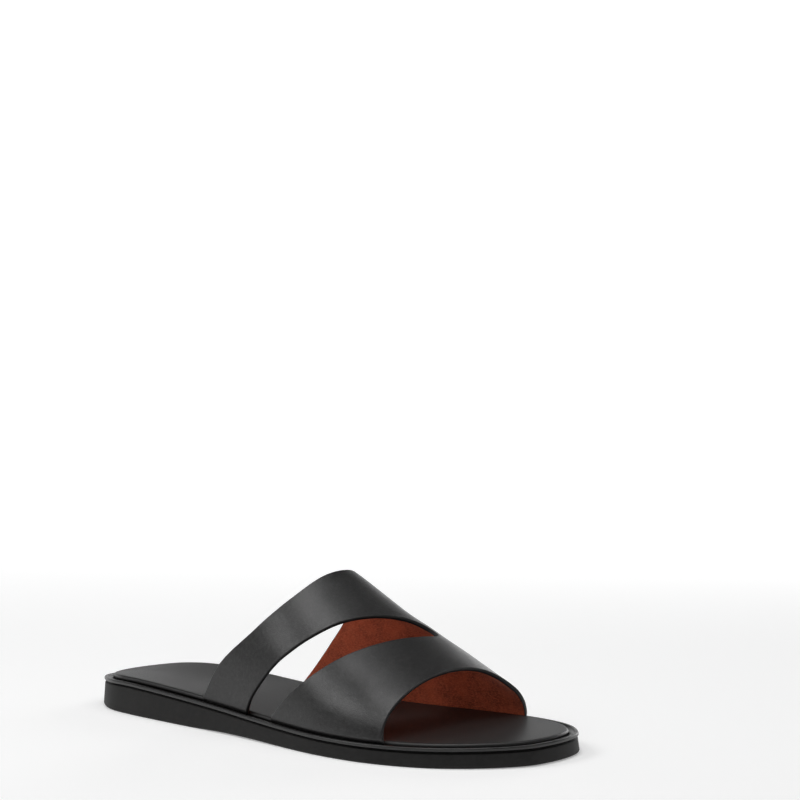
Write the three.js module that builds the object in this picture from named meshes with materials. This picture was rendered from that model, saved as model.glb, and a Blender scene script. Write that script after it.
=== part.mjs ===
// An open-toed leather slide for the right foot: a slim rubber outsole, a thin midsole whose edge
// shows as a rim, a leather-covered footbed, and one hollow upper whose long cut-out on the outer
// side parts it into a rear and a front strap.
//
// Millimetres. +X runs from heel to toe, +Y to the inner side of the foot and +Z up. The floor is
// z = 0, and the origin lies on it, under the centre of the sole's outline.
import * as THREE from 'three';
import { mergeVertices } from 'three/addons/utils/BufferGeometryUtils.js';

// Driving dimensions of the sole
const soleLength = 286;
const ballWidth = 104;
const heelWidth = 73;
const heelHeight = 16.7;        // top of the rim over the floor, at the heel
const foreHeight = 9.4;         // top of the rim over the floor, at the ball of the foot
const toeSpring = 0.4;          // rise of the outsole under the toe tip
const heelSpring = 0.3;         // rise of the outsole under the heel's back edge
const waistRise = 0.5;          // rise of the outsole under the arch of the foot
const soleRound = 1.3;          // radius of the outsole's bottom edge
const soleFlare = 0.8;          // how far the rubber's side leans out towards the floor
const midsoleThickness = 1.8;
const rimProud = 0.4;           // how far the midsole stands out past the rubber's top
const rimRound = 0.7;           // radius on the outer edges of the midsole
const recessDepth = 1.0;        // footbed and straps sit this far below the rim
const grooveHeight = 0.8;       // dark groove under the rim
const grooveDepth = 0.9;
const heelPad = 2.5;            // thickness of the footbed at the heel
const forePad = 1.8;            // thickness of the footbed at the toes
const heelSkive = 0.8;          // thinning of the footbed at the heel's back edge
const padRound = 1.4;           // radius of the footbed's upper edge
const heelSeatDip = 1.2;        // hollow of the footbed under the heel
const ballDip = 0.6;            // hollow of the footbed under the ball

// Driving dimensions of the upper
const upperWall = 2.4;          // leather and lining together
const instepHeight = 71;        // crown of the rear strap over the rim
const strapInset = 2.2;         // outer face of the strap's foot, in from the rim's edge

// Room between pieces that meet
const clearance = 0.3;
const middleRoom = 31;          // the slabs' middle line stops this far from the heel and the toe

// Fineness of the facets
const outlineSteps = 48;
const roundSteps = 3;
const openRows = 24;            // rows of facets from the outer side up to the end of the cut-out
const closedRows = 18;          // rows of facets from there down to the inner side
const rearColumns = 10;
const frontColumns = 9;
const curveSamples = 600;
const slopeStep = 0.001;        // share of a length over which a slope is measured
const endCrowding = 0.7;        // how strongly points crowd towards the ends of a stretch

// The sole's outline. along: share of the sole's length. of: the named width that a row follows.
// outer and inner: distance from the heel's middle line to each side, as shares of that width.
const OUTLINE = [
  { along: 0.000, of: heelWidth, outer: 0.000, inner: 0.000 },
  { along: 0.007, of: heelWidth, outer: 0.141, inner: 0.145 },
  { along: 0.030, of: heelWidth, outer: 0.281, inner: 0.292 },
  { along: 0.080, of: heelWidth, outer: 0.417, inner: 0.436 },
  { along: 0.148, of: heelWidth, outer: 0.478, inner: 0.514 },
  { along: 0.270, of: ballWidth, outer: 0.375, inner: 0.368 },
  { along: 0.412, of: ballWidth, outer: 0.413, inner: 0.368 },
  { along: 0.544, of: ballWidth, outer: 0.472, inner: 0.400 },
  { along: 0.655, of: ballWidth, outer: 0.518, inner: 0.450 },
  { along: 0.757, of: ballWidth, outer: 0.514, inner: 0.487 },
  { along: 0.858, of: ballWidth, outer: 0.433, inner: 0.482 },
  { along: 0.939, of: ballWidth, outer: 0.277, inner: 0.408 },
  { along: 0.985, of: ballWidth, outer: 0.118, inner: 0.284 },
  { along: 0.996, of: ballWidth, outer: 0.014, inner: 0.209 },
  { along: 1.000, of: ballWidth, outer: -0.093, inner: 0.093 },
];

// Height of the rim along the sole: 0 is foreHeight and 1 is heelHeight.
const RIM = [
  { along: 0.000, rise: 0.60 },
  { along: 0.030, rise: 0.80 },
  { along: 0.138, rise: 1.00 },
  { along: 0.290, rise: 0.76 },
  { along: 0.493, rise: 0.24 },
  { along: 0.645, rise: 0.02 },
  { along: 0.797, rise: 0.00 },
  { along: 1.000, rise: 0.12 },
];

// The last's cross-sections under the straps.
// height: crown over the rim, as a share of instepHeight.
// crown: sideways place of the crown; lean and swell: how the two sides bulge, shares of ballWidth.
const SECTIONS = [
  { along: 0.406, height: 1.178, crown: 0.056, lean: 0.032, swell: 0.072 },
  { along: 0.510, height: 0.996, crown: 0.122, lean: 0.026, swell: 0.056 },
  { along: 0.616, height: 0.742, crown: 0.154, lean: 0.021, swell: 0.041 },
  { along: 0.720, height: 0.531, crown: 0.153, lean: 0.016, swell: 0.025 },
  { along: 0.826, height: 0.313, crown: 0.118, lean: 0.010, swell: 0.010 },
];
const shoulder = 0.12;          // how much fuller than an ellipse the sections are low down

// Edges of the leather. over: share of the way over the foot, 0 at the outer foot of the strap and
// 1 at the inner. along: share of the sole's length.
const REAR_EDGE = [
  { over: 0.00, along: 0.339 },
  { over: 0.03, along: 0.356 },
  { over: 0.07, along: 0.381 },
  { over: 0.14, along: 0.437 },
  { over: 0.19, along: 0.466 },
  { over: 0.25, along: 0.490 },
  { over: 0.32, along: 0.506 },
  { over: 0.42, along: 0.514 },
  { over: 0.52, along: 0.518 },
  { over: 0.62, along: 0.513 },
  { over: 0.70, along: 0.501 },
  { over: 0.78, along: 0.484 },
  { over: 0.85, along: 0.461 },
  { over: 0.91, along: 0.428 },
  { over: 0.96, along: 0.394 },
  { over: 1.00, along: 0.361 },
];
const FRONT_EDGE = [
  { over: 0.00, along: 0.782 },
  { over: 0.10, along: 0.777 },
  { over: 0.25, along: 0.777 },
  { over: 0.37, along: 0.779 },
  { over: 0.50, along: 0.787 },
  { over: 0.60, along: 0.798 },
  { over: 0.70, along: 0.815 },
  { over: 0.78, along: 0.828 },
  { over: 0.88, along: 0.834 },
  { over: 1.00, along: 0.835 },
];
// The cut-out: up the front edge of the rear strap, round its end over the instep, and back down
// the rear edge of the front strap.
const CUT_OUT = [
  { over: -0.03, along: 0.450 },
  { over: 0.00, along: 0.457 },
  { over: 0.03, along: 0.468 },
  { over: 0.08, along: 0.497 },
  { over: 0.13, along: 0.524 },
  { over: 0.18, along: 0.549 },
  { over: 0.25, along: 0.575 },
  { over: 0.34, along: 0.599 },
  { over: 0.43, along: 0.623 },
  { over: 0.50, along: 0.642 },
  { over: 0.55, along: 0.657 },
  { over: 0.58, along: 0.670 },
  { over: 0.587, along: 0.684 },
  { over: 0.575, along: 0.695 },
  { over: 0.54, along: 0.699 },
  { over: 0.47, along: 0.693 },
  { over: 0.40, along: 0.681 },
  { over: 0.32, along: 0.663 },
  { over: 0.25, along: 0.643 },
  { over: 0.18, along: 0.619 },
  { over: 0.12, along: 0.592 },
  { over: 0.07, along: 0.563 },
  { over: 0.03, along: 0.538 },
  { over: 0.00, along: 0.521 },
  { over: -0.03, along: 0.507 },
];

// Stretches of the sole over which a height comes in or goes out, as shares of its length
const waistStart = [0.31, 0.41];
const waistEnd = [0.47, 0.59];
const toeLift = [0.84, 1.08];
const heelLift = [-0.02, 0.07];
const padTaper = [0.19, 0.59];
const skiveEnd = [0.00, 0.09];
const heelSeatEnd = [0.21, 0.39];
const ballStart = [0.49, 0.68];
const ballEnd = [0.80, 0.95];

// Piecewise linear value at a place in two rising lists
function linear(places, values, place) {
  let high = 1;
  while (high < places.length - 1 && places[high] < place) high += 1;
  const low = high - 1;
  const share = (place - places[low]) / (places[high] - places[low]);
  return values[low] + share * (values[high] - values[low]);
}

// A smooth function through one column of a table, carried on straight past its two ends
function column(table, key, name, scale = 1) {
  const points = table.map((row) => new THREE.Vector2(row[key], row[name] * scale));
  const curve = new THREE.SplineCurve(points).getPoints(curveSamples);
  const places = curve.map((point) => point.x);
  const values = curve.map((point) => point.y);
  return (place) => linear(places, values, place);
}

// 0 before a stretch, 1 past it, and smooth between
const comesIn = ([low, high], share) => THREE.MathUtils.smoothstep(share, low, high);
const goesOut = (stretch, share) => 1 - comesIn(stretch, share);

// Outline of the sole, as one closed smooth curve from the heel's back round the outer side
function outlineCurve() {
  const side = (row, y) => new THREE.Vector3(row.along * soleLength, y, 0);
  const outer = OUTLINE.map((row) => side(row, -row.outer * row.of));
  const inner = OUTLINE.slice(1, -1).map((row) => side(row, row.inner * row.of));
  return new THREE.CatmullRomCurve3([...outer, ...inner.reverse()], true, 'centripetal');
}

// Places the heel's back and the widest points evenly about the origin
const rawOutline = outlineCurve();
const outlineBox = new THREE.Box3().setFromPoints(rawOutline.getPoints(curveSamples));
const shift = outlineBox.getCenter(new THREE.Vector3());

// The same number of points on both sides of the foot, from the heel's back to the toe tip and
// back, closer together round the heel and the toe
function outlinePoints() {
  const points = [];
  for (let step = 0; step < 2 * outlineSteps; step += 1) {
    const turn = step / outlineSteps;
    const way = step < outlineSteps ? turn : 2 - turn;
    const eased = (1 - Math.cos(Math.PI * way)) / 2;
    const share = THREE.MathUtils.lerp(way, eased, endCrowding) / 2;
    const place = step < outlineSteps ? share : 1 - share;
    const point = rawOutline.getPoint(place % 1);
    const tangent = rawOutline.getTangent(place % 1);
    points.push({
      x: point.x - shift.x,
      y: point.y - shift.y,
      outX: tangent.y,
      outY: -tangent.x,
    });
  }
  return points;
}
const outline = outlinePoints();

const heelX = -shift.x;
const alongShare = (x) => (x - heelX) / soleLength;
const placeOf = (share) => share * soleLength + heelX;

// Where the outer faces of the strap's feet stand: y on each side, at a place along the sole
function footLine(points) {
  const places = points.map((point) => point.x - strapInset * point.outX);
  const values = points.map((point) => point.y - strapInset * point.outY);
  return (x) => linear(places, values, x);
}
const outerFoot = footLine(outline.slice(1, outlineSteps));
const innerFoot = footLine(outline.slice(outlineSteps + 1).reverse());

// Heights along the sole
const rimRise = column(RIM, 'along', 'rise');
const rimTop = (x) => foreHeight + (heelHeight - foreHeight) * rimRise(alongShare(x));
function soleBottom(x) {
  const share = alongShare(x);
  const waist = comesIn(waistStart, share) * goesOut(waistEnd, share);
  const toe = comesIn(toeLift, share) / comesIn(toeLift, 1);
  const heel = goesOut(heelLift, share) / goesOut(heelLift, 0);
  return waistRise * waist + toeSpring * toe + heelSpring * heel;
}
function padThickness(x) {
  const share = alongShare(x);
  const skive = heelSkive * goesOut(skiveEnd, share);
  return THREE.MathUtils.lerp(heelPad, forePad, comesIn(padTaper, share)) - skive;
}
const recessFloor = (x) => rimTop(x) - recessDepth;
const padBottom = (x) => recessFloor(x) + clearance;

// One closed slab with the sole's outline. Each ring is { inset, height(x, y) } for the edge, or
// { inset, share, height(x, y) } where share draws the ring in towards the middle line.
function slab(rings) {
  const vertices = [];
  for (const { inset, share = 1, height } of rings) {
    outline.forEach((point, index) => {
      const twin = outline[(outline.length - index) % outline.length];
      const edgeX = point.x - inset * point.outX;
      const edgeY = point.y - inset * point.outY;
      const pairShare = alongShare((point.x + twin.x) / 2);
      const middleX = heelX + THREE.MathUtils.lerp(middleRoom, soleLength - middleRoom, pairShare);
      const middleY = (point.y + twin.y) / 2;
      const x = THREE.MathUtils.lerp(middleX, edgeX, share);
      const y = THREE.MathUtils.lerp(middleY, edgeY, share);
      vertices.push(x, y, height(x, y, share));
    });
  }
  const faces = [];
  const count = outline.length;
  for (let ring = 0; ring + 1 < rings.length; ring += 1) {
    for (let index = 0; index < count; index += 1) {
      const a = ring * count + index;
      const b = ring * count + (index + 1) % count;
      faces.push([a, b, a + count], [b, b + count, a + count]);
    }
  }
  return solid(vertices, faces);
}

// A closed solid from points and faces, with doubled points made one and empty faces dropped
function solid(vertices, faces) {
  const geometry = new THREE.BufferGeometry();
  geometry.setAttribute('position', new THREE.Float32BufferAttribute(vertices, 3));
  geometry.setIndex(faces.flat());
  const merged = mergeVertices(geometry, 1e-3);
  const index = Array.from(merged.index.array);
  const kept = [];
  for (let start = 0; start < index.length; start += 3) {
    const [a, b, c] = index.slice(start, start + 3);
    if (a !== b && b !== c && c !== a) kept.push(a, b, c);
  }
  merged.setIndex(kept);
  merged.computeVertexNormals();
  return merged;
}

// A quarter round from one level to the next, as rings. from and to are angles in quarter turns.
function quarterRound(radius, inset, level, sign, from, to) {
  const rings = [];
  for (let step = 0; step <= roundSteps; step += 1) {
    const angle = THREE.MathUtils.lerp(from, to, step / roundSteps) * Math.PI / 2;
    const drawn = inset + radius * (1 - Math.sin(angle));
    const off = radius * (1 - Math.cos(angle));
    rings.push({ inset: drawn, height: (x, y) => level(x, y) + sign * off });
  }
  return rings;
}

function outsole() {
  const top = (x) => rimTop(x) - midsoleThickness - clearance;
  const side = rimProud;
  const foot = side - soleFlare;
  const floor = foot + soleRound;
  return slab([
    { inset: floor, share: 0, height: soleBottom },
    { inset: floor, share: 0.5, height: soleBottom },
    ...quarterRound(soleRound, foot, soleBottom, 1, 0, 1),
    { inset: side, height: (x) => top(x) - grooveHeight },
    { inset: side + grooveDepth, height: (x) => top(x) - grooveHeight },
    { inset: side + grooveDepth, height: top },
    { inset: floor, share: 0.5, height: top },
    { inset: floor, share: 0, height: top },
  ]);
}

// A shallow tray: its lip is the rim, and straps and footbed stand on its floor
function midsole() {
  const bottom = (x) => rimTop(x) - midsoleThickness;
  const lip = strapInset - clearance;
  return slab([
    { inset: rimRound, share: 0, height: bottom },
    { inset: rimRound, share: 0.5, height: bottom },
    ...quarterRound(rimRound, 0, bottom, 1, 0, 1),
    ...quarterRound(rimRound, 0, rimTop, -1, 1, 0),
    { inset: lip, height: rimTop },
    { inset: lip, height: recessFloor },
    { inset: lip, share: 0.5, height: recessFloor },
    { inset: lip, share: 0, height: recessFloor },
  ]);
}

function footbed() {
  const inset = strapInset + upperWall + clearance;
  const edgeTop = (x) => padBottom(x) + padThickness(x);
  const top = (x, y, share) => {
    const along = alongShare(x);
    const ball = comesIn(ballStart, along) * goesOut(ballEnd, along);
    const dip = heelSeatDip * goesOut(heelSeatEnd, along) + ballDip * ball;
    return edgeTop(x) - dip * (1 - share * share);
  };
  return slab([
    { inset, share: 0, height: padBottom },
    { inset, share: 0.5, height: padBottom },
    { inset, height: padBottom },
    ...quarterRound(padRound, inset, edgeTop, -1, 1, 0),
    ...[0.8, 0.4, 0].map((share) => ({ inset: inset + padRound, share, height: top })),
  ]);
}

// The upper's outer face: a point at x along the foot and at the share over of the way across it.
// With c the cosine and s the sine of half a turn times over, the height is the arch height times
// s (1 + shoulder (1 - s)), and the sideways place is a quartic in c that starts and ends on the
// strap's two feet and passes over the crown.
const archHeight = column(SECTIONS, 'along', 'height', instepHeight);
const crownPlace = column(SECTIONS, 'along', 'crown', ballWidth);
const leanOf = column(SECTIONS, 'along', 'lean', ballWidth);
const swellOf = column(SECTIONS, 'along', 'swell', ballWidth);
function outerFace(x, over) {
  const along = alongShare(x);
  const c = Math.cos(Math.PI * over);
  const s = Math.sin(Math.PI * over);
  const crown = crownPlace(along) - shift.y;
  const lean = leanOf(along);
  const swell = swellOf(along);
  const skew = (innerFoot(x) + outerFoot(x)) / 2 - crown;
  const spread = (innerFoot(x) - outerFoot(x)) / 2 + lean;
  const y = crown - spread * c + skew * c * c + lean * c ** 3 + swell * (c ** 4 - c * c);
  const z = rimTop(x) + archHeight(along) * s * (1 + shoulder * (1 - s));
  return new THREE.Vector3(x, y, z);
}

// The same point on the inner face, one wall further in
function innerFace(x, over) {
  const low = Math.max(0, over - slopeStep);
  const high = Math.min(1, over + slopeStep);
  const reach = slopeStep * soleLength;
  const alongFoot = outerFace(x + reach, over).sub(outerFace(x - reach, over));
  const overFoot = outerFace(x, high).sub(outerFace(x, low));
  const outwards = alongFoot.cross(overFoot).normalize();
  return outerFace(x, over).addScaledVector(outwards, -upperWall);
}

// A foot of the strap, sunk straight down from the rim to the floor of the recess
function sunk(point) {
  return point.setZ(padBottom(point.x));
}

// Length over the foot from one foot of the strap to the other, at a place along the sole
function girthAt(x) {
  const across = [];
  for (let step = 0; step <= curveSamples; step += 1) across.push(outerFace(x, step / curveSamples));
  return across.slice(1).reduce((sum, point, index) => sum + point.distanceTo(across[index]), 0);
}

// The cut-out's two edges as places along the foot, and how far over the foot it ends. The girth
// gives both directions one scale, so that the end is truly round.
function cutOutEdges() {
  const girth = girthAt(placeOf(CUT_OUT[0].along));
  const points = CUT_OUT.map((row) => new THREE.Vector2(row.over * girth, row.along * soleLength));
  const samples = new THREE.SplineCurve(points).getPoints(curveSamples);
  let end = 0;
  samples.forEach((sample, index) => {
    if (sample.x > samples[end].x) end = index;
  });
  const branch = (list) => {
    const overs = list.map((sample) => sample.x / girth);
    const places = list.map((sample) => sample.y / soleLength);
    return (over) => placeOf(linear(overs, places, over));
  };
  return {
    endOver: samples[end].x / girth,
    behind: branch(samples.slice(0, end + 1)),
    ahead: branch(samples.slice(end).reverse()),
  };
}

// Places from one value to another, closer together towards both ends
function easedPlaces(from, to, steps) {
  const places = [];
  for (let step = 0; step <= steps; step += 1) {
    const share = step / steps;
    const eased = (1 - Math.cos(Math.PI * share)) / 2;
    places.push(THREE.MathUtils.lerp(from, to, THREE.MathUtils.lerp(share, eased, endCrowding)));
  }
  return places;
}

// The upper is a grid of facets, row by row over the foot. Up to the end of the cut-out a row has
// a gap between its rear and its front strap, and past it the two share their middle point. The
// first and the last row are the bottoms of the feet.
function upper() {
  const rearEdge = column(REAR_EDGE, 'over', 'along');
  const frontEdge = column(FRONT_EDGE, 'over', 'along');
  const cut = cutOutEdges();
  const openOvers = easedPlaces(0, cut.endOver, openRows).slice(0, -1);
  const rows = [
    { over: 0, open: true, bottom: true },
    ...openOvers.map((over) => ({ over, open: true })),
    ...easedPlaces(cut.endOver, 1, closedRows).map((over) => ({ over, open: false })),
    { over: 1, open: false, bottom: true },
  ];
  const middle = alongShare(cut.behind(cut.endOver));
  const outside = [];
  const inside = [];
  const faces = [];
  const rowLength = rearColumns + frontColumns + 2;
  rows.forEach(({ over, open, bottom = false }, rowIndex) => {
    const behind = open ? cut.behind(over) : placeOf(middle);
    const ahead = open ? cut.ahead(over) : placeOf(middle);
    const rear = placeOf(rearEdge(over));
    const front = placeOf(frontEdge(over));
    for (let step = 0; step < rowLength; step += 1) {
      const frontStep = step - rearColumns - 1;
      const x = frontStep < 0
        ? THREE.MathUtils.lerp(rear, behind, step / rearColumns)
        : THREE.MathUtils.lerp(ahead, front, frontStep / frontColumns);
      const outer = outerFace(x, over);
      const inner = innerFace(x, over);
      outside.push(bottom ? sunk(outer) : outer);
      inside.push(bottom ? sunk(inner) : inner);
      if (rowIndex === 0 || step === 0 || step === rearColumns + 1) continue;
      const d = rowIndex * rowLength + step;
      const c = d - 1;
      const b = d - rowLength;
      const a = b - 1;
      faces.push([a, b, d], [a, d, c]);
    }
  });
  return shell(outside, inside, faces);
}

// A wall between an outer and an inner face that share one list of triangles, closed along every
// edge that only one triangle has
function shell(outside, inside, faces) {
  const keyOf = (point) => `${point.x.toFixed(3)},${point.y.toFixed(3)},${point.z.toFixed(3)}`;
  const first = new Map();
  const same = outside.map((point, index) => {
    const key = keyOf(point);
    if (!first.has(key)) first.set(key, index);
    return first.get(key);
  });
  const shared = faces.map((face) => face.map((corner) => same[corner]));
  const used = new Set();
  shared.forEach(([a, b, c]) => {
    used.add(`${a},${b}`);
    used.add(`${b},${c}`);
    used.add(`${c},${a}`);
  });
  const count = outside.length;
  const all = [];
  for (const [a, b, c] of shared) {
    all.push([a, b, c], [a + count, c + count, b + count]);
    for (const [from, to] of [[a, b], [b, c], [c, a]]) {
      if (used.has(`${to},${from}`)) continue;
      all.push([from, from + count, to], [to, from + count, to + count]);
    }
  }
  const vertices = [...outside, ...inside].flatMap((point) => point.toArray());
  return solid(vertices, all);
}

// A named piece with its own colour and finish
function piece(name, geometry, color, roughness) {
  const material = new THREE.MeshStandardMaterial({ color, roughness, metalness: 0 });
  const mesh = new THREE.Mesh(geometry, material);
  mesh.name = name;
  return mesh;
}

const slide = new THREE.Group();
slide.add(piece('outsole', outsole(), 0x1d1b1b, 0.7));
slide.add(piece('midsole', midsole(), 0x1b1a1a, 0.5));
slide.add(piece('footbed', footbed(), 0x2a2929, 0.5));
slide.add(piece('upper', upper(), 0x272625, 0.42));

export default slide;
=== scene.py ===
# %% [markdown]
# # An open-toed leather slide
#
# This notebook dresses one slide for the right foot: a slim rubber outsole, a thin midsole whose edge
# shows as a rim, a leather-covered footbed, and one wide upper with a long slanting cut-out on its outer
# side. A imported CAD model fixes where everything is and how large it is. Each step makes one piece of the
# real shoe again as a finer surface in the same place, and then gives it its finish.
#
# Shapes are worked out in millimetres, as a shoemaker would, and turned into Blender's metres when a mesh
# is made. +X runs from heel to toe, +Y to the inner side of the foot, and +Z up from the floor.

import math

import bpy
import numpy as np
from mathutils import Matrix


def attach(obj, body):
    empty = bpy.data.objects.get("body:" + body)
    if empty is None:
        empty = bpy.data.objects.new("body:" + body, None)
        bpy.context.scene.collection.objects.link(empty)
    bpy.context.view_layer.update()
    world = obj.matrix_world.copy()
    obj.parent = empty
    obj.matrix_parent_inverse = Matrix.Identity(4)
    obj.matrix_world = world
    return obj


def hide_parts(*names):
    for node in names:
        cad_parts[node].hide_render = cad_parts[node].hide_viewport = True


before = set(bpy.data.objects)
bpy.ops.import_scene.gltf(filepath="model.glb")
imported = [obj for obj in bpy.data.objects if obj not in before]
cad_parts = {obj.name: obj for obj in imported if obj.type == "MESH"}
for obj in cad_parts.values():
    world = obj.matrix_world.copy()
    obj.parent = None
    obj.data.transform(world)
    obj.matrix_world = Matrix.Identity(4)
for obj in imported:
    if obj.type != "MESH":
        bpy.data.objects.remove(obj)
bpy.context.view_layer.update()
print("nodes to dress:", sorted(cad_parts))

# %% [markdown]
# ## The camera
#
# The slide is seen from its outer side, turned a little towards the toe, by a camera that stands hardly
# higher than the shoe. A camera can be aimed by a Track To constraint, but here its three axes are worked
# out from two angles and put straight into its matrix: then the same numbers say exactly what is sideways,
# what is up and what is towards the camera. The point that it aims at lies above and beside the shoe, which
# leaves the shoe low and to the left in the frame without shifting the lens.

# %% Camera
MM = 0.001
CAMERA_TURN = math.radians(37.71)
CAMERA_LIFT = math.radians(2.49)
CAMERA_DISTANCE = 1099.0
LENS = 96.5
SHOE_POINT = np.array([-2.0, 1.8, 10.5])
AIM_SIDEWAYS = 42.9
AIM_UP = 157.1

towards_camera = np.array([
    math.sin(CAMERA_TURN) * math.cos(CAMERA_LIFT),
    -math.cos(CAMERA_TURN) * math.cos(CAMERA_LIFT),
    math.sin(CAMERA_LIFT),
])
sideways = np.array([math.cos(CAMERA_TURN), math.sin(CAMERA_TURN), 0.0])
upwards = np.cross(towards_camera, sideways)

camera = bpy.data.objects.new("camera", bpy.data.cameras.new("camera"))
camera.data.lens = LENS
aim = SHOE_POINT + AIM_SIDEWAYS * sideways + AIM_UP * upwards
place = (aim + CAMERA_DISTANCE * towards_camera) * MM
axes = Matrix((sideways, upwards, towards_camera)).transposed().to_4x4()
camera.matrix_world = Matrix.Translation(place) @ axes
bpy.context.scene.collection.objects.link(camera)
bpy.context.scene.camera = camera
print("camera at", np.round(place, 3))

# %% [markdown]
# ## Sizes
#
# These are the sizes that a shoemaker would write on the pattern. The tables further down hold shares of
# them, so a wider last or a higher instep changes every piece that touches it.

# %% Sizes of the sole and the upper
SOLE_LENGTH = 286.0
BALL_WIDTH = 104.0
HEEL_WIDTH = 73.0
HEEL_HEIGHT = 16.7
FORE_HEIGHT = 9.4
TOE_SPRING = 0.4
HEEL_SPRING = 0.3
WAIST_RISE = 0.5
MIDSOLE_THICKNESS = 1.8
RECESS_DEPTH = 1.0
UPPER_WALL = 2.4
INSTEP_HEIGHT = 71.0
STRAP_INSET = 2.2
CLEARANCE = 0.3

# %% [markdown]
# ## Smooth curves through a few points
#
# A last is not made of arcs, so its lines are smooth curves through a few measured places. A Blender curve
# object could hold them, but plain arrays are easier to reuse. A Catmull-Rom curve passes through every
# point it is given. Its centripetal form, where each step counts by the root of its length, keeps the
# closed outline of the sole from bulging where close points follow distant ones.

# %% Splines and tables
SAMPLES = 4000


def spline(points, power=0.0, closed=False):
    """Points on a smooth curve through the given ones.

    Between two neighbours the curve is the cubic that has their places and tangents. A tangent weighs
    the slopes on its two sides by their steps, and a step is a distance raised to the power."""
    points = np.asarray(points, float)
    before, after = (points[-1:], points[:2]) if closed else (points[:1], points[-1:])
    chain = np.concatenate([before, points, after])
    moves = np.diff(chain, axis=0)
    steps = np.linalg.norm(moves, axis=1, keepdims=True) ** power
    slopes = moves / steps
    blends = (moves[:-1] + moves[1:]) / (steps[:-1] + steps[1:])
    tangents = slopes[:-1] - blends + slopes[1:]
    count = len(chain) - 3
    where = np.linspace(0, count, SAMPLES, endpoint=not closed)
    span = np.minimum(where.astype(int), count - 1)
    t = (where - span)[:, None]
    step = steps[span + 1]
    start, end = chain[span + 1], chain[span + 2]
    leave, arrive = tangents[span] * step, tangents[span + 1] * step
    bend = 3 * (end - start) - 2 * leave - arrive
    twist = 2 * (start - end) + leave + arrive
    return start + t * (leave + t * (bend + t * twist))


def column(table, key, name):
    """A smooth function through one column of a table, carried on straight past its two ends."""
    places, values = spline([(row[key], row[name]) for row in table]).T
    first, last = (np.diff(values) / np.diff(places))[[0, -1]]
    places = np.concatenate([[places[0] - 1], places, [places[-1] + 1]])
    values = np.concatenate([[values[0] - first], values, [values[-1] + last]])
    return lambda place: np.interp(place, places, values)


def comes_in(stretch, share):
    """0 before a stretch, 1 past it, and t t (3 - 2 t) between, where t runs from 0 to 1."""
    low, high = stretch
    t = np.clip((share - low) / (high - low), 0, 1)
    return t * t * (3 - 2 * t)


def arc_lengths(line):
    """Length of a line of points from its start to each of them."""
    steps = np.linalg.norm(np.diff(line, axis=0), axis=1)
    return np.concatenate([[0], np.cumsum(steps)])


# %% [markdown]
# ## The outline of the sole
#
# Every piece of the bottom follows this one line: the rubber a little outside it, the rim on it and the
# footbed inside it. Each row gives the distance from the heel's middle line to either side, as a share of
# the heel's or the ball's width. The inner side is fuller towards the toe, where the big toe lies, and the
# outer side is fullest at the little toe's joint.

# %% Outline
OUTLINE = [
    {"along": 0.000, "of": HEEL_WIDTH, "outer": 0.000, "inner": 0.000},
    {"along": 0.007, "of": HEEL_WIDTH, "outer": 0.141, "inner": 0.145},
    {"along": 0.030, "of": HEEL_WIDTH, "outer": 0.281, "inner": 0.292},
    {"along": 0.080, "of": HEEL_WIDTH, "outer": 0.417, "inner": 0.436},
    {"along": 0.148, "of": HEEL_WIDTH, "outer": 0.478, "inner": 0.514},
    {"along": 0.270, "of": BALL_WIDTH, "outer": 0.375, "inner": 0.368},
    {"along": 0.412, "of": BALL_WIDTH, "outer": 0.413, "inner": 0.368},
    {"along": 0.544, "of": BALL_WIDTH, "outer": 0.472, "inner": 0.400},
    {"along": 0.655, "of": BALL_WIDTH, "outer": 0.518, "inner": 0.450},
    {"along": 0.757, "of": BALL_WIDTH, "outer": 0.514, "inner": 0.487},
    {"along": 0.858, "of": BALL_WIDTH, "outer": 0.433, "inner": 0.482},
    {"along": 0.939, "of": BALL_WIDTH, "outer": 0.277, "inner": 0.408},
    {"along": 0.985, "of": BALL_WIDTH, "outer": 0.118, "inner": 0.284},
    {"along": 0.996, "of": BALL_WIDTH, "outer": 0.014, "inner": 0.209},
    {"along": 1.000, "of": BALL_WIDTH, "outer": -0.093, "inner": 0.093},
]
EDGE_POINTS = 600

outer_side = [(row["along"] * SOLE_LENGTH, -row["outer"] * row["of"]) for row in OUTLINE]
inner_side = [(row["along"] * SOLE_LENGTH, row["inner"] * row["of"]) for row in OUTLINE[1:-1]]
corners = outer_side + inner_side[::-1]
outline_curve = spline(corners, power=0.5, closed=True)
shift = (outline_curve.min(axis=0) + outline_curve.max(axis=0)) / 2
outline_curve = outline_curve - shift
heel_x = -shift[0]


def even_points(line, count):
    """The same line as evenly spaced points."""
    lengths = arc_lengths(line)
    places = np.linspace(0, lengths[-1], count)
    return np.stack([np.interp(places, lengths, values) for values in line.T], axis=-1)


def outline_points(count):
    """Points round the outline, as many on the outer side as on the inner, and their outward normals."""
    toe = round(SAMPLES * (len(OUTLINE) - 1) / len(corners))
    half = count // 2 + 1
    there = even_points(outline_curve[:toe + 1], half)
    back = even_points(np.concatenate([outline_curve[toe:], outline_curve[:1]]), half)
    points = np.concatenate([there[:-1], back[:-1]])
    tangents = np.roll(points, -1, axis=0) - np.roll(points, 1, axis=0)
    tangents /= np.linalg.norm(tangents, axis=1, keepdims=True)
    return points, np.stack([tangents[:, 1], -tangents[:, 0]], axis=-1)


edge, edge_out = outline_points(EDGE_POINTS)
print("outline box, mm:", np.round(np.ptp(edge, axis=0), 1))

# %% [markdown]
# ## Heights along the sole
#
# The slide stands on a slim wedge. The rim falls from the heel to the ball of the foot and lifts a little
# at the toe, and the underside springs up at both ends and under the arch, so the shoe rests on heel and
# ball.

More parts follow.
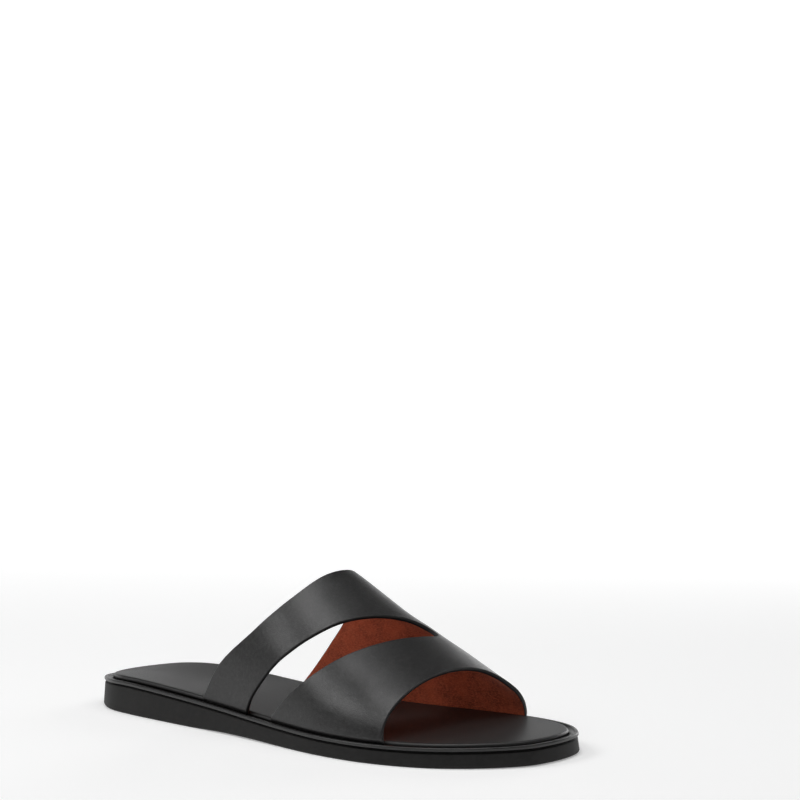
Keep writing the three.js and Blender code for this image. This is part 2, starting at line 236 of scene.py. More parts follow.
# %% Heights
RIM = [
    {"along": 0.000, "rise": 0.60},
    {"along": 0.030, "rise": 0.80},
    {"along": 0.138, "rise": 1.00},
    {"along": 0.290, "rise": 0.76},
    {"along": 0.493, "rise": 0.24},
    {"along": 0.645, "rise": 0.02},
    {"along": 0.797, "rise": 0.00},
    {"along": 1.000, "rise": 0.12},
]
WAIST_START = (0.31, 0.41)
WAIST_END = (0.47, 0.59)
TOE_LIFT = (0.84, 1.08)
HEEL_LIFT = (-0.02, 0.07)

rim_rise = column(RIM, "along", "rise")


def share_along(x):
    return (x - heel_x) / SOLE_LENGTH


def rim_top(x):
    return FORE_HEIGHT + (HEEL_HEIGHT - FORE_HEIGHT) * rim_rise(share_along(x))


def sole_bottom(x):
    """Underside of the sole: flat at heel and ball, a little higher at the waist and at both ends."""
    share = share_along(x)
    waist = comes_in(WAIST_START, share) * (1 - comes_in(WAIST_END, share))
    toe = comes_in(TOE_LIFT, share) / comes_in(TOE_LIFT, 1)
    heel = (1 - comes_in(HEEL_LIFT, share)) / (1 - comes_in(HEEL_LIFT, 0))
    return WAIST_RISE * waist + TOE_SPRING * toe + HEEL_SPRING * heel


print("rim over the floor, mm:", np.round(rim_top(heel_x + SOLE_LENGTH * np.array([0, 0.5, 1])), 2))

# %% [markdown]
# ## From arrays to a mesh
#
# Each piece of the bottom is a stack of rings: the outline drawn in by some inset, at some height. Rings
# that lie on the top or the underside are drawn in towards the middle line of the sole, which stops short
# of heel and toe, and there the two halves of the last ring meet in a seam. Joining neighbouring rings by
# quads gives one closed skin. This is how a turner thinks of a profile, and it beats an extrude with bevels
# here, because every small rounding is a few more rings.

# %% Meshes
MIDDLE_ROOM = 31.0


def add_mesh(name, points, faces):
    """A smooth mesh object from points in millimetres and quads, with its faces turned outwards.

    The signed volume, a sixth of the sum of the triple products of the triangles, is negative where
    the faces point inwards."""
    points = points.reshape(-1, 3)
    a, b, c, d = (points[faces[:, corner]] for corner in range(4))
    triple = np.einsum("ij,ij->i", a, np.cross(b, c) + np.cross(c, d))
    volume = triple.sum() / 6
    if volume < 0:
        faces = faces[:, ::-1]
    mesh = bpy.data.meshes.new(name)
    mesh.from_pydata((points * MM).tolist(), [], faces.tolist())
    mesh.validate()
    mesh.shade_smooth()
    piece = bpy.data.objects.new(name, mesh)
    bpy.context.scene.collection.objects.link(piece)
    print(f"{name}: {len(faces)} faces, {abs(volume) / 1000:.1f} cm3")
    return piece


def ring(inset, height, share=1.0):
    """The outline drawn in by an inset, then towards the middle line by 1 - share."""
    edge_points = edge - inset * edge_out
    twins = np.roll(edge[::-1], 1, axis=0)
    middle = (edge + twins) / 2
    reach = share_along(middle[:, 0])
    middle[:, 0] = heel_x + MIDDLE_ROOM + reach * (SOLE_LENGTH - 2 * MIDDLE_ROOM)
    flat = middle + share * (edge_points - middle)
    z = height(flat[:, 0], flat[:, 1], share)
    return np.column_stack([flat, z])


def level_ring(inset, level, share=1.0):
    """A ring whose height depends on the place along the foot alone."""
    return ring(inset, lambda x, y, share: level(x), share)


def add_slab(name, rings):
    """Joins a stack of rings by quads. The first and the last ring lie on the middle line, where each
    point of the inner side is the same as its twin on the outer side."""
    count = EDGE_POINTS
    points = np.stack(rings)
    numbers = np.arange(len(rings) * count).reshape(len(rings), count)
    twin = (count - np.arange(count)) % count
    seam = np.minimum(np.arange(count), twin)
    numbers[0] = numbers[0][seam]
    numbers[-1] = numbers[-1][seam]
    here, there = numbers, np.roll(numbers, -1, axis=1)
    quads = np.stack([here[:-1], there[:-1], there[1:], here[1:]], axis=-1).reshape(-1, 4)
    used, quads = np.unique(quads, return_inverse=True)
    return add_mesh(name, points.reshape(-1, 3)[used], quads.reshape(-1, 4))


def rounded(radius, inset, level, sign, start, stop, steps):
    """Rings of a quarter round, with a running from start to stop in quarter turns.

    A ring is drawn in by inset + radius (1 - sin a) and lies at level + sign radius (1 - cos a). With a
    radius under 0 the round faces inwards, like the lip of a tray."""
    rings = []
    for a in np.linspace(start, stop, steps) * math.pi / 2:
        off = sign * radius * (1 - math.cos(a))
        drawn = inset + radius * (1 - math.sin(a))
        rings.append(level_ring(drawn, lambda x, off=off: level(x) + off))
    return rings


# %% [markdown]
# ## Outsole
#
# The outsole is one piece of moulded black rubber. Its side leans out a little towards the floor and ends
# in a soft bottom edge, and a narrow step under the rim reads as a dark groove. The tread under heel and
# ball could be a bump in the material, but it is touched and seen from below, so it is cut as real, wavy
# grooves: the underside's height is a function of place, lower where a wave is past its threshold.

# %% Outsole
RIM_PROUD = 0.4
SOLE_FLARE = 0.8
SOLE_ROUND = 1.3
GROOVE_HEIGHT = 0.8
GROOVE_DEPTH = 0.9
LIP_ROUND = 0.25
TREAD_PITCH = 7.5
TREAD_DEPTH = 0.8
TREAD_WAVE = 1.6
TREAD_WAVE_LENGTH = 17.0
TREAD_THRESHOLD = (0.55, 0.80)
TREAD_EDGE = (0.90, 0.80)
HEEL_TREAD_START = (0.05, 0.09)
HEEL_TREAD_END = (0.24, 0.28)
BALL_TREAD_START = (0.52, 0.56)
BALL_TREAD_END = (0.90, 0.94)
TREAD_RINGS = 46
SOLE_ROUND_STEPS = 9
LIP_STEPS = 4


def outsole_top(x):
    return rim_top(x) - MIDSOLE_THICKNESS - CLEARANCE


def groove_floor(x):
    return outsole_top(x) - GROOVE_HEIGHT


def underside(x, y, share):
    """Underside with wavy grooves across heel and ball, none at the waist or close to the edge."""
    along = share_along(x)
    heel = comes_in(HEEL_TREAD_START, along) * (1 - comes_in(HEEL_TREAD_END, along))
    ball = comes_in(BALL_TREAD_START, along) * (1 - comes_in(BALL_TREAD_END, along))
    wave = x + TREAD_WAVE * np.sin(2 * np.pi * y / TREAD_WAVE_LENGTH)
    cut = comes_in(TREAD_THRESHOLD, np.cos(2 * np.pi * wave / TREAD_PITCH))
    inside = comes_in(TREAD_EDGE, share)
    return sole_bottom(x) + TREAD_DEPTH * cut * inside * (heel + ball)


def make_outsole():
    foot = RIM_PROUD - SOLE_FLARE
    floor = foot + SOLE_ROUND
    inner = RIM_PROUD + GROOVE_DEPTH
    under = [ring(floor, underside, share) for share in np.linspace(0, 1, TREAD_RINGS)[:-1]]
    side = rounded(SOLE_ROUND, foot, sole_bottom, 1, 0, 1, SOLE_ROUND_STEPS)
    lip = rounded(LIP_ROUND, RIM_PROUD, groove_floor, -1, 1, 0, LIP_STEPS)
    step = [level_ring(inner, groove_floor)]
    top = [level_ring(inner, outsole_top, share) for share in (1, 0.5, 0)]
    return add_slab("rubber_outsole", under + side + lip + step + top)


outsole = make_outsole()

# %% [markdown]
# ## Midsole
#
# Between rubber and footbed lies a thin board. All that shows of it is its edge, a narrow band that runs
# right round the shoe and stands a hair proud of the rubber. Its top is a shallow tray: strap ends and
# footbed are glued into it, so the lip stays visible beside them. The band gets generous roundings,
# because on a black shoe it is mostly their highlights that draw the line.

# %% Midsole
RIM_ROUND = 0.7
RIM_STEPS = 7
TRAY_ROUND = 0.35
TRAY_STEPS = 5


def recess_floor(x):
    return rim_top(x) - RECESS_DEPTH


def midsole_bottom(x):
    return rim_top(x) - MIDSOLE_THICKNESS


def make_midsole():
    lip = STRAP_INSET - CLEARANCE
    under = [level_ring(RIM_ROUND, midsole_bottom, share) for share in (0, 0.5)]
    low = rounded(RIM_ROUND, 0, midsole_bottom, 1, 0, 1, RIM_STEPS)
    high = rounded(RIM_ROUND, 0, rim_top, -1, 1, 0, RIM_STEPS)
    inner = rounded(-TRAY_ROUND, lip, rim_top, 1, 0, 1, TRAY_STEPS)
    tray = [level_ring(lip, recess_floor, share) for share in (1, 0.5, 0)]
    return add_slab("rim_midsole", under + low + high + inner + tray)


midsole = make_midsole()

# %% [markdown]
# ## Footbed
#
# The footbed is a board with a little foam, wrapped in black leather. Its edge is a full rounding that
# catches the light as a thin bright line, and its top is hollowed a little under the heel and the ball,
# as a foot asks. The hollow is a parabola across the sole, 1 - share squared, scaled by how deep the seat
# is at that place along the foot.

# %% Footbed
HEEL_PAD = 2.5
FORE_PAD = 1.8
HEEL_SKIVE = 0.8
PAD_ROUND = 1.4
PAD_STEPS = 10
PAD_RINGS = 30
HEEL_SEAT_DIP = 1.2
BALL_DIP = 0.6
PAD_TAPER = (0.19, 0.59)
SKIVE_END = (0.00, 0.09)
HEEL_SEAT_END = (0.21, 0.39)
BALL_START = (0.49, 0.68)
BALL_END = (0.80, 0.95)


def pad_bottom(x):
    return recess_floor(x) + CLEARANCE


def pad_edge(x):
    share = share_along(x)
    skive = HEEL_SKIVE * (1 - comes_in(SKIVE_END, share))
    return pad_bottom(x) + HEEL_PAD + (FORE_PAD - HEEL_PAD) * comes_in(PAD_TAPER, share) - skive


def pad_top(x, y, share):
    along = share_along(x)
    ball = comes_in(BALL_START, along) * (1 - comes_in(BALL_END, along))
    dip = HEEL_SEAT_DIP * (1 - comes_in(HEEL_SEAT_END, along)) + BALL_DIP * ball
    return pad_edge(x) - dip * (1 - share * share)


def make_footbed():
    inset = STRAP_INSET + UPPER_WALL + CLEARANCE
    under = [level_ring(inset, pad_bottom, share) for share in (0, 0.5, 1)]
    side = rounded(PAD_ROUND, inset, pad_edge, -1, 1, 0, PAD_STEPS)
    top = [ring(inset + PAD_ROUND, pad_top, share) for share in np.linspace(1, 0, PAD_RINGS)[1:]]
    return add_slab("leather_footbed", under + side + top)


footbed = make_footbed()

# %% [markdown]
# ## The last under the straps
#
# The upper is cut from flat leather and pulled over a last, so its surface is the last's surface. At each
# place along the foot the section is a smooth arch from the outer side to the inner side. With c and s the
# cosine and sine of half a turn times the share of the way over, the height is the arch's height times
# s (1 + shoulder (1 - s)), and the sideways place is a quartic in c. The arch is lower and its crown lies
# closer to the inner side as it nears the toes, which gives the slide its left or right.

# %% The upper's outer face
SECTIONS = [
    {"along": 0.406, "height": 1.178, "crown": 0.056, "lean": 0.032, "swell": 0.072},
    {"along": 0.510, "height": 0.996, "crown": 0.122, "lean": 0.026, "swell": 0.056},
    {"along": 0.616, "height": 0.742, "crown": 0.154, "lean": 0.021, "swell": 0.041},
    {"along": 0.720, "height": 0.531, "crown": 0.153, "lean": 0.016, "swell": 0.025},
    {"along": 0.826, "height": 0.313, "crown": 0.118, "lean": 0.010, "swell": 0.010},
]
SHOULDER = 0.12
SLOPE_STEP = 0.001

arch_share = column(SECTIONS, "along", "height")
crown_share = column(SECTIONS, "along", "crown")
lean_share = column(SECTIONS, "along", "lean")
swell_share = column(SECTIONS, "along", "swell")
half_count = EDGE_POINTS // 2
foot_points = edge - STRAP_INSET * edge_out
outer_foot = foot_points[1:half_count]
inner_foot = foot_points[half_count + 1:][::-1]


def foot_line(points, x):
    return np.interp(x, points[:, 0], points[:, 1])


def outer_face(x, over):
    """Points of the outer face at x along the foot and at a share over across it. Past 0 and past 1
    the face goes straight down into the recess, by the share times the girth."""
    inside = np.clip(over, 0, 1)
    along = share_along(x)
    c = np.cos(np.pi * inside)
    s = np.sin(np.pi * inside)
    crown = crown_share(along) * BALL_WIDTH - shift[1]
    lean = lean_share(along) * BALL_WIDTH
    swell = swell_share(along) * BALL_WIDTH
    low, high = foot_line(outer_foot, x), foot_line(inner_foot, x)
    skew = (high + low) / 2 - crown
    spread = (high - low) / 2 + lean
    y = crown - spread * c + skew * c * c + lean * c ** 3 + swell * (c ** 4 - c * c)
    arch = arch_share(along) * INSTEP_HEIGHT * s * (1 + SHOULDER * (1 - s))
    return np.stack([x, y, rim_top(x) + arch - np.abs(over - inside) * girth], axis=-1)


CUT_START = 0.450
# From 0 to 1 the face doesn't need the girth, so the girth can be measured on the face.
girth = 0.0
across = outer_face(np.full(SAMPLES, heel_x + CUT_START * SOLE_LENGTH), np.linspace(0, 1, SAMPLES))
girth = arc_lengths(across)[-1]
print(f"girth over the instep: {girth:.1f} mm")

# %% [markdown]
# ## The cut of the leather
#
# On the cutting table the upper is flat: one measure runs over the foot, the other along it. Its border is
# the rear edge, the inner foot and the front edge, and the cut-out runs in from the outer side to a round
# end over the instep. That makes a U-shaped band, from the foot of the rear strap round the end of the
# cut-out to the foot of the front strap. The grid of the mesh follows that band, with one side on the
# cut-out and the other on the border, so every edge of the leather is an edge of the grid and no hole has
# to be cut by a boolean.

# %% Edges of the leather
REAR_EDGE = [
    {"over": 0.00, "along": 0.339},
    {"over": 0.03, "along": 0.356},
    {"over": 0.07, "along": 0.381},
    {"over": 0.14, "along": 0.437},
    {"over": 0.19, "along": 0.466},
    {"over": 0.25, "along": 0.490},
    {"over": 0.32, "along": 0.506},
    {"over": 0.42, "along": 0.514},
    {"over": 0.52, "along": 0.518},
    {"over": 0.62, "along": 0.513},
    {"over": 0.70, "along": 0.501},
    {"over": 0.78, "along": 0.484},
    {"over": 0.85, "along": 0.461},
    {"over": 0.91, "along": 0.428},
    {"over": 0.96, "along": 0.394},
    {"over": 1.00, "along": 0.361},
]
FRONT_EDGE = [
    {"over": 0.00, "along": 0.782},
    {"over": 0.10, "along": 0.777},
    {"over": 0.25, "along": 0.777},
    {"over": 0.37, "along": 0.779},
    {"over": 0.50, "along": 0.787},
    {"over": 0.60, "along": 0.798},
    {"over": 0.70, "along": 0.815},
    {"over": 0.78, "along": 0.828},
    {"over": 0.88, "along": 0.834},
    {"over": 1.00, "along": 0.835},
]
CUT_OUT = [
    {"over": -0.03, "along": 0.450},
    {"over": 0.00, "along": 0.457},
    {"over": 0.03, "along": 0.468},
    {"over": 0.08, "along": 0.497},
    {"over": 0.13, "along": 0.524},
    {"over": 0.18, "along": 0.549},
    {"over": 0.25, "along": 0.575},
    {"over": 0.34, "along": 0.599},
    {"over": 0.43, "along": 0.623},
    {"over": 0.50, "along": 0.642},
    {"over": 0.55, "along": 0.657},
    {"over": 0.58, "along": 0.670},
    {"over": 0.587, "along": 0.684},
    {"over": 0.575, "along": 0.695},
    {"over": 0.54, "along": 0.699},
    {"over": 0.47, "along": 0.693},
    {"over": 0.40, "along": 0.681},
    {"over": 0.32, "along": 0.663},
    {"over": 0.25, "along": 0.643},
    {"over": 0.18, "along": 0.619},
    {"over": 0.12, "along": 0.592},
    {"over": 0.07, "along": 0.563},
    {"over": 0.03, "along": 0.538},
    {"over": 0.00, "along": 0.521},
    {"over": -0.03, "along": 0.507},
]
SUNK = RECESS_DEPTH - CLEARANCE


def flat_lines():
    """The cut-out and the border as lines of points on the cutting table, in millimetres."""
    cut = spline([(row["over"] * girth, row["along"] * SOLE_LENGTH) for row in CUT_OUT])
    cut = cut[cut[:, 0] > -SUNK]
    over = np.linspace(-SUNK, girth + SUNK, SAMPLES)
    rear = np.column_stack([over, column(REAR_EDGE, "over", "along")(over / girth) * SOLE_LENGTH])
    front = np.column_stack([over, column(FRONT_EDGE, "over", "along")(over / girth) * SOLE_LENGTH])
    inner = np.linspace(rear[-1], front[-1], SAMPLES // 2)
    return cut, rear, inner, front[::-1]


cut_line, rear_line, inner_line, front_line = flat_lines()
border_line = np.concatenate([rear_line, inner_line[1:-1], front_line])

# %% [markdown]
# The band's rows join a place on the cut-out to a place on the border. Along the straps both are equally
# far over the foot. Round the end of the cut-out the rows fan out to the two hidden corners at the inner
# foot. A short list of such pairs is enough: between them both places move on at an even pace. Rows that
# end near the rear corner are bowed towards the toes, because the rear edge curves in there and a straight
# row would cross it.

# %% Rows of the band
STRAP_ROWS = 130
FAN_ROWS = 70
ROW_BOW = 14.0
CORNER_ROWS = 10


def nearest(line, point):
    """Length along a line to the place nearest to a point given as shares."""
    target = np.array([point[0] * girth, point[1] * SOLE_LENGTH])
    return arc_lengths(line)[np.argmin(np.linalg.norm(line - target, axis=1))]


def at_lengths(line, places):
    """Points of a line at given lengths, and the unit tangents there."""
    lengths = arc_lengths(line)
    tangents = np.gradient(line, axis=0)
    tangents /= np.linalg.norm(tangents, axis=1, keepdims=True)
    points = np.stack([np.interp(places, lengths, values) for values in line.T], axis=-1)
    turned = np.stack([np.interp(places, lengths, values) for values in tangents.T], axis=-1)
    return points, turned / np.linalg.norm(turned, axis=1, keepdims=True)


def eased(outwards):
    """Outward vectors averaged over neighbouring rows. They turn a corner little by little, so rows that
    are drawn in by some inset keep their order there."""
    padded = np.pad(outwards, ((CORNER_ROWS, CORNER_ROWS), (0, 0)), mode="edge")
    weights = np.full(2 * CORNER_ROWS + 1, 1 / (2 * CORNER_ROWS + 1))
    return np.stack([np.convolve(part, weights, mode="valid") for part in padded.T], axis=-1)


PAIRS = [
    {"cut": (0.50, 0.642), "border": (0.50, 0.518), "rows": STRAP_ROWS},
    {"cut": (0.58, 0.670), "border": (1.01, 0.357), "rows": FAN_ROWS},
    {"cut": (0.587, 0.684), "border": (1.00, 0.615), "rows": FAN_ROWS},
    {"cut": (0.575, 0.695), "border": (1.01, 0.835), "rows": FAN_ROWS},
    {"cut": (0.50, 0.697), "border": (0.56, 0.793), "rows": FAN_ROWS},
]


def row_places():
    """Lengths along the cut-out and the border at which the rows start and end."""
    cut_stops = [0, *(nearest(cut_line, pair["cut"]) for pair in PAIRS), arc_lengths(cut_line)[-1]]
    border_stops = [0, *(nearest(border_line, pair["border"]) for pair in PAIRS)]
    border_stops.append(arc_lengths(border_line)[-1])
    row_stops = np.cumsum([0, *(pair["rows"] for pair in PAIRS), STRAP_ROWS])
    rows = np.arange(row_stops[-1] + 1)
    return np.interp(rows, row_stops, cut_stops), np.interp(rows, row_stops, border_stops)


cut_places, border_places = row_places()
cut_points, cut_tangents = at_lengths(cut_line, cut_places)
border_points, border_tangents = at_lengths(border_line, border_places)
cut_outwards = np.column_stack([-cut_tangents[:, 1], cut_tangents[:, 0]])
border_outwards = eased(np.column_stack([border_tangents[:, 1], -border_tangents[:, 0]]))
row_numbers = np.arange(len(cut_places))
corner_row = STRAP_ROWS + FAN_ROWS
bow = ROW_BOW * comes_in((STRAP_ROWS, corner_row), row_numbers)
bow *= 1 - comes_in((corner_row, corner_row + FAN_ROWS), row_numbers)
print("rows of the band:", len(cut_places))

# %% [markdown]
# ## Soft creases
#
# Even a new slide is not perfectly even: the leather dips a little where it is pulled over the last. Each
# crease is given as a line on the cutting table with a width and a height, and raises or sinks
# the wall along it by a bell curve that fades out at both ends. The wall moves as one, so leather and
# lining stay together.

# %% Creases
CREASES = [
    {"from": (0.60, 0.635), "to": (0.72, 0.594), "width": 7.0, "rise": -0.35},
    {"from": (0.62, 0.696), "to": (0.76, 0.711), "width": 6.0, "rise": -0.30},
    {"from": (0.61, 0.667), "to": (0.74, 0.650), "width": 5.0, "rise": 0.22},
    {"from": (0.12, 0.447), "to": (0.22, 0.513), "width": 8.0, "rise": -0.25},
    {"from": (0.10, 0.635), "to": (0.22, 0.696), "width": 9.0, "rise": -0.28},
    {"from": (0.06, 0.716), "to": (0.20, 0.736), "width": 8.0, "rise": 0.20},
    {"from": (0.36, 0.539), "to": (0.44, 0.594), "width": 8.0, "rise": -0.22},
    {"from": (0.80, 0.554), "to": (0.92, 0.534), "width": 9.0, "rise": -0.30},
]
CREASE_FADE = 0.35


def relief(over, along):
    """Sum over the creases of rise times exp(-(d / width)^2) times a fade towards the two ends."""
    total = np.zeros_like(over)
    for crease in CREASES:
        start = np.array([crease["from"][0] * girth, crease["from"][1] * SOLE_LENGTH])
        end = np.array([crease["to"][0] * girth, crease["to"][1] * SOLE_LENGTH])
        run = end - start
        length = np.hypot(*run)
        right, ahead = over * girth - start[0], along * SOLE_LENGTH - start[1]
        t = (right * run[0] + ahead * run[1]) / length ** 2
        d = (right * run[1] - ahead * run[0]) / length
        fade = comes_in((-CREASE_FADE, 0.5), t) * (1 - comes_in((0.5, 1 + CREASE_FADE), t))
        total += crease["rise"] * np.exp(-(d / crease["width"]) ** 2) * fade
    return total


# %% [markdown]
# ## Leather and lining
#
# The upper is black calf leather with a rust-red suede glued to its back. Both are walls of the same band,
# at different depths under the outer face. A wall's section is a flat ring: out along the outer face, round
# the edge, back along the inner face and round the other edge. The round of an edge is half of a
# superellipse, which gives a cut and painted edge its flat middle and soft corners. The Solidify modifier
# could give the thickness, but it would leave the corners sharp and the foot of the strap as thick as the
# rest, where a maker skives it thin so that it turns in under the rim.

# %% Walls of the upper
LEATHER_THICKNESS = 2.1
LINING_THICKNESS = 0.28
LINING_MARGIN = 0.45
EDGE_ROUND = 0.55
LINING_ROUND = 0.3
EDGE_FULLNESS = 0.6
EDGE_STEPS = 8
ARRIS_STEPS = 2
BAND_COLUMNS = 56
TUCK = 1.1
TUCK_HEIGHT = 2.6
CALM_FOOT = (0.0, 6.0)


def wall_points(flat, depth, tuck):
    """Points of the wall under places on the cutting table: the outer face, moved along its normal by
    the relief, which comes in over the calm foot, less the depth. The tuck turns the foot in by
    tuck (1 - h / height)^2 near the rim."""
    over, along = flat[..., 0] / girth, flat[..., 1] / SOLE_LENGTH
    x = heel_x + flat[..., 1]
    reach = SLOPE_STEP * SOLE_LENGTH
    low, high = over - SLOPE_STEP, over + SLOPE_STEP
    along_foot = outer_face(x + reach, over) - outer_face(x - reach, over)
    over_foot = outer_face(x, high) - outer_face(x, low)
    normals = np.cross(along_foot, over_foot)
    normals /= np.linalg.norm(normals, axis=-1, keepdims=True)
    points = outer_face(x, over)
    above = points[..., 2] - rim_top(x)
    raised = relief(over, along) * comes_in(CALM_FOOT, above) - depth
    points = points + normals * raised[..., None]
    near_rim = 1 - np.clip(above / TUCK_HEIGHT, 0, 1)
    points[..., 1] += np.where(over < 0.5, 1, -1) * tuck * near_rim ** 2
    return points


def add_wall(name, near, thickness, margin, radius, tuck):
    """One wall of the band: its section ring carried along the rows, with a cap at both feet.

    With a from 0 to a half turn over an edge, the ring is inset by radius (1 - sin(a)^fullness) and
    lies at a depth of thickness (1 - cos a) / 2."""
    a = np.linspace(0, math.pi, 2 * EDGE_STEPS)[:EDGE_STEPS]
    inset = margin + radius * (1 - np.sin(a) ** EDGE_FULLNESS)
    down = thickness * (1 - np.cos(a)) / 2
    cut_edge = cut_points[:, None] - inset[::-1, None] * cut_outwards[:, None]
    border_edge = border_points[:, None] - inset[:, None] * border_outwards[:, None]
    t = np.linspace(0, 1, BAND_COLUMNS)[1:-1, None]
    middle = cut_edge[:, -1:] * (1 - t) + border_edge[:, :1] * t
    middle[..., 1] += 2 * t[:, 0] * (1 - t[:, 0]) * bow[:, None]
    flat = np.concatenate([cut_edge, middle, border_edge], axis=1)
    depth = np.concatenate([down[::-1], np.zeros(len(t)), down])
    half = len(depth)
    outer = wall_points(flat, near + depth, tuck * (1 - depth / thickness))
    inner = wall_points(flat, near + thickness - depth, tuck * depth / thickness)
    points = np.concatenate([outer, inner[:, ::-1]], axis=1)
    rows, count = points.shape[:2]
    numbers = np.arange(rows * count).reshape(rows, count)
    around = np.roll(numbers, -1, axis=1)
    skin = np.stack([numbers[:-1], around[:-1], around[1:], numbers[1:]], axis=-1).reshape(-1, 4)
    caps = []
    for row, order in ((numbers[0], 1), (numbers[-1], -1)):
        near_side, far_side = row[:half], row[half:][::-1]
        cap = np.stack([near_side[:-1], far_side[:-1], far_side[1:], near_side[1:]], axis=-1)
        caps.append(cap[:, ::order])
    piece = add_mesh(name, points, np.concatenate([skin, *caps]))
    near_edge = np.concatenate([np.ones(EDGE_STEPS), np.zeros(len(t)), np.ones(EDGE_STEPS)])
    near_edge[EDGE_STEPS - ARRIS_STEPS:ARRIS_STEPS - EDGE_STEPS] = 0.0
    section = np.concatenate([near_edge, near_edge[::-1]])
    mark = piece.data.attributes.new("cut_edge", "FLOAT", "POINT")
    mark.data.foreach_set("value", np.tile(section, rows).astype(np.float32))
    return piece


LEATHER_WALL = {
    "near": 0.0, "thickness": LEATHER_THICKNESS,
    "margin": 0.0, "radius": EDGE_ROUND, "tuck": TUCK,
}
LINING_WALL = {
    "near": UPPER_WALL - LINING_THICKNESS, "thickness": LINING_THICKNESS,
    "margin": LINING_MARGIN, "radius": LINING_ROUND, "tuck": 0.0,
}
leather = add_wall("leather_upper", **LEATHER_WALL)
lining = add_wall("suede_lining", **LINING_WALL)

# %% [markdown]
# ## Writing materials as formulas
#
# A procedural material is a graph of small nodes. Drawn by hand it is hard to read, but most of it is
# arithmetic, so a small class wraps a socket and lets Python's operators add the Math nodes. Every other
# node comes from one call, which takes the node's type, its settings, and the values or links of its
# sockets.

# %% Formulas on sockets
class Wire:
    """A number, colour or vector that varies over a surface: one output socket in one node tree."""

    def __init__(self, finish, socket):
        self.finish = finish
        self.socket = socket

    def math(self, operation, first, second):
        return self.finish.node("ShaderNodeMath", {"operation": operation}, {0: first, 1: second})

    def __add__(self, other):
        return self.math("ADD", self, other)

    def __sub__(self, other):
        return self.math("SUBTRACT", self, other)

    def __rsub__(self, other):
        return self.math("SUBTRACT", other, self)

    def __mul__(self, other):
        return self.math("MULTIPLY", self, other)

    __radd__ = __add__


class Finish:
    """A material and the calls that build its node tree."""

    def __init__(self, name):
        self.material = bpy.data.materials.new(name)
        self.material.use_nodes = True
        self.tree = self.material.node_tree
        self.shader = self.tree.nodes["Principled BSDF"]

    def node(self, kind, settings=None, sockets=None, output=0):
        """A node of a kind: first its settings, then the values or links of its sockets."""
        made = self.tree.nodes.new(kind)
        for name, value in (settings or {}).items():
            setattr(made, name, value)
        self.connect(made, sockets or {})
        return Wire(self, made.outputs[output])

    def connect(self, made, sockets):
        for name, value in sockets.items():
            if isinstance(value, Wire):
                self.tree.links.new(value.socket, made.inputs[name])
            else:
                made.inputs[name].default_value = value

    def place(self, stretch=(1, 1, 1)):
        """Object coordinates in metres, stretched along the axes where a pattern runs one way."""
        where = self.node("ShaderNodeTexCoord", output="Object")
        return self.node("ShaderNodeMapping", None, {"Vector": where, "Scale": stretch})

    def noise(self, size, detail=3.0, rough=0.5, stretch=(1, 1, 1)):
        """Cloudy noise from 0 to 1, with spots of a size in millimetres."""
        sockets = {"Vector": self.place(stretch), "Scale": 1 / (size * MM)}
        sockets.update({"Detail": detail, "Roughness": rough})
        return self.node("ShaderNodeTexNoise", None, sockets)

    def cells(self, size):
        """Distance to the nearest wall between cells of a size in millimetres, 0 on the wall."""
        sockets = {"Vector": self.place(), "Scale": 1 / (size * MM)}
        return self.node("ShaderNodeTexVoronoi", {"feature": "DISTANCE_TO_EDGE"}, sockets)

    def between(self, value, low, high):
        """0 where a value is under low, 1 where it is over high, and smooth between."""
        settings = {"interpolation_type": "SMOOTHSTEP"}
        sockets = {"Value": value, "From Min": low, "From Max": high}
        return self.node("ShaderNodeMapRange", settings, sockets)

    def mix(self, share, first, second):
        """A colour between two: the first where the share is 0, the second, a plain colour, where it
        is 1."""
        first = first if isinstance(first, Wire) else (*first, 1.0)
        sockets = {0: share, 6: first, 7: (*second, 1.0)}
        return self.node("ShaderNodeMix", {"data_type": "RGBA"}, sockets, output=2)

    def bump(self, height, depth):
        """Normals tilted by a height from 0 to 1 that stands for a depth in millimetres."""
        sockets = {"Height": height, "Distance": depth * MM, "Strength": 1.0}
        return self.node("ShaderNodeBump", None, sockets)

    def give(self, piece, slot, *nodes):
        """Puts the finish on a piece that stands for CAD nodes, hangs it from the root body, hides those
        nodes and prints the slot name it is given.
        """
        piece.data.materials.append(self.material)
        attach(piece, "root")
        if nodes:
            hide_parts(*nodes)
        print(f"{piece.name}: {len(self.tree.nodes)} shader nodes, slot {slot}")


# %% [markdown]
# ## Black calf leather
#
# Smooth calf has a grain finer than a millimetre: small flat islands between hair-thin furrows, which only
# show in the highlights, and slow swells where the hide was thicker. The islands are Voronoi cells, the
# swells are noise, and both go into one bump. The colour is nearly black, a little greyer where the finish
# is thin. The cut edge is painted, blacker and duller than the face, and a point attribute tells the
# shader where it is. The paint stops short of the arris, where the leather's own gloss draws a bright line.

# %% Leather of the upper
CALF_DARK = (0.006, 0.0058, 0.0058)
CALF_LIGHT = (0.010, 0.0097, 0.0097)
CALF_THIN = (0.021, 0.0205, 0.0205)
EDGE_PAINT = (0.002, 0.002, 0.002)


